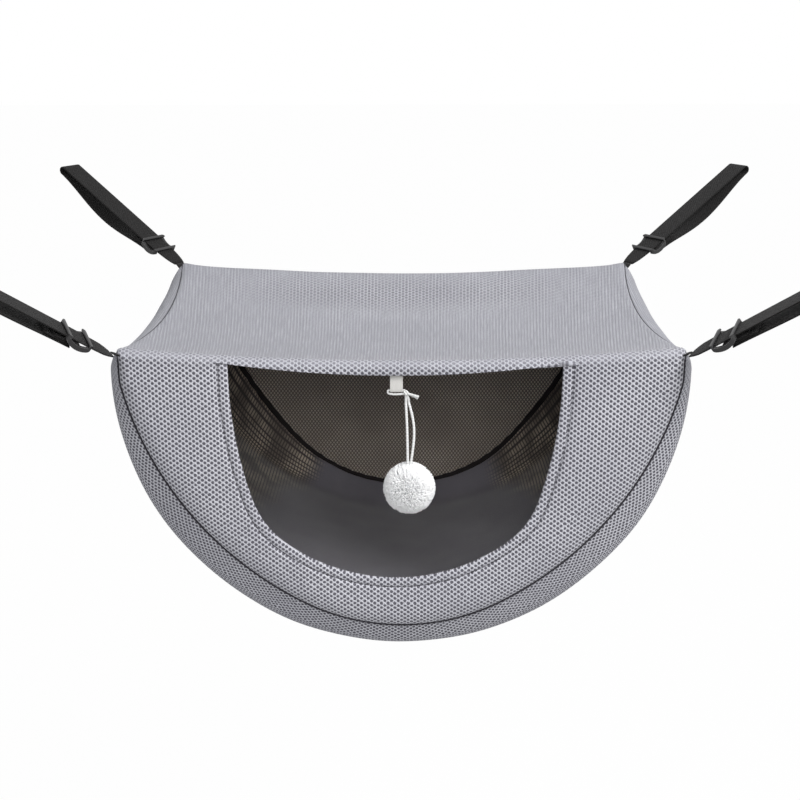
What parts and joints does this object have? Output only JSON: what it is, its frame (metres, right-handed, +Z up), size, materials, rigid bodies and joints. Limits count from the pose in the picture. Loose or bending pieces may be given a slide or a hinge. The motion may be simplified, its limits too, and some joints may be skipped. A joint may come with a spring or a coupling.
{
  "type": "hanging pet cabin",
  "caption": "Hanging cat cabin of grey air mesh with an open D-shaped doorway, adjustable corner straps that loop round cage bars, and a pompom toy.",
  "frame": {"origin": "middle of the rectangle of the four hanging corners", "axes": "+Z up, -Y towards the doorway, +X to the right seen from the doorway"},
  "size_m": [0.6466, 0.4812, 0.3249],
  "materials": {
    "air_mesh_roof": "grey air mesh with small staggered holes, lit from above",
    "air_mesh_front": "light grey air mesh with small staggered dark holes",
    "air_mesh_band": "grey air mesh with small staggered dark holes",
    "lining_mesh": "fine black mesh",
    "floor_cloth": "smooth charcoal brushed cloth",
    "back_mesh": "fine dark mesh, partly see-through",
    "binding_tape": "black binding tape",
    "webbing": "black woven webbing",
    "slider_plastic": "black moulded plastic with rubbed grey edges",
    "cotton_tape": "white cotton tape",
    "elastic_cord": "white elastic cord",
    "pompom_yarn": "white fluffy yarn"
  },
  "bodies": {
    "cabin": {"roof_panel": "air_mesh_roof", "front_panel": "air_mesh_front", "doorway_hem": "air_mesh_front", "shell_panel": "air_mesh_band", "shell_lining": "lining_mesh", "floor_pad": "floor_cloth", "back_panel": "back_mesh", "back_seam_binding": "binding_tape", "toy_tape_tab": "cotton_tape", "corner_webbing_front_left": "webbing", "corner_webbing_front_right": "webbing", "corner_webbing_back_left": "webbing", "corner_webbing_back_right": "webbing"},
    "strap_front_left": {"strap_front_left": "webbing"},
    "slider_front_left": {"slider_front_left": "slider_plastic", "strap_end_front_left": "webbing"},
    "strap_front_right": {"strap_front_right": "webbing"},
    "slider_front_right": {"slider_front_right": "slider_plastic", "strap_end_front_right": "webbing"},
    "strap_back_left": {"strap_back_left": "webbing"},
    "slider_back_left": {"slider_back_left": "slider_plastic", "strap_end_back_left": "webbing"},
    "strap_back_right": {"strap_back_right": "webbing"},
    "slider_back_right": {"slider_back_right": "slider_plastic", "strap_end_back_right": "webbing"},
    "toy_ring": {"toy_cord_ring": "elastic_cord"},
    "toy_pompom": {"toy_cord_left": "elastic_cord", "toy_cord_right": "elastic_cord", "pompom": "pompom_yarn"}
  },
  "joints": [
    {"name": "strap_swing_front_left", "type": "hinge", "parent": "cabin", "child": "strap_front_left", "pos_m": [-0.20207, -0.1514, -0.002], "axis": [-0.5606, 0.8281, 0], "range_deg": [-95, 75]},
    {"name": "slider_slide_front_left", "type": "slide", "parent": "strap_front_left", "child": "slider_front_left", "axis": [-0.6808, -0.4609, 0.5693], "range_m": [-0.01, 0.08]},
    {"name": "strap_swing_front_right", "type": "hinge", "parent": "cabin", "child": "strap_front_right", "pos_m": [0.20207, -0.1514, -0.002], "axis": [-0.5606, -0.8281, 0], "range_deg": [-95, 75]},
    {"name": "slider_slide_front_right", "type": "slide", "parent": "strap_front_right", "child": "slider_front_right", "axis": [0.6808, -0.4609, 0.5693], "range_m": [-0.01, 0.08]},
    {"name": "strap_swing_back_left", "type": "hinge", "parent": "cabin", "child": "strap_back_left", "pos_m": [-0.202, 0.1515, -0.002], "axis": [0.599, 0.8007, 0], "range_deg": [-95, 75]},
    {"name": "slider_slide_back_left", "type": "slide", "parent": "strap_back_left", "child": "slider_back_left", "axis": [-0.7037, 0.5264, 0.4772], "range_m": [-0.01, 0.08]},
    {"name": "strap_swing_back_right", "type": "hinge", "parent": "cabin", "child": "strap_back_right", "pos_m": [0.202, 0.1515, -0.002], "axis": [0.599, -0.8007, 0], "range_deg": [-95, 75]},
    {"name": "slider_slide_back_right", "type": "slide", "parent": "strap_back_right", "child": "slider_back_right", "axis": [0.7037, 0.5264, 0.4772], "range_m": [-0.01, 0.08]},
    {"name": "toy_swing", "type": "hinge", "parent": "cabin", "child": "toy_ring", "pos_m": [-0.0032, -0.1465, -0.0302], "axis": [1, 0, 0], "range_deg": [-60, 60]},
    {"name": "toy_sway", "type": "hinge", "parent": "toy_ring", "child": "toy_pompom", "pos_m": [0.0044, -0.1465, -0.0369], "axis": [0, 1, 0], "range_deg": [-50, 50]}
  ]
}
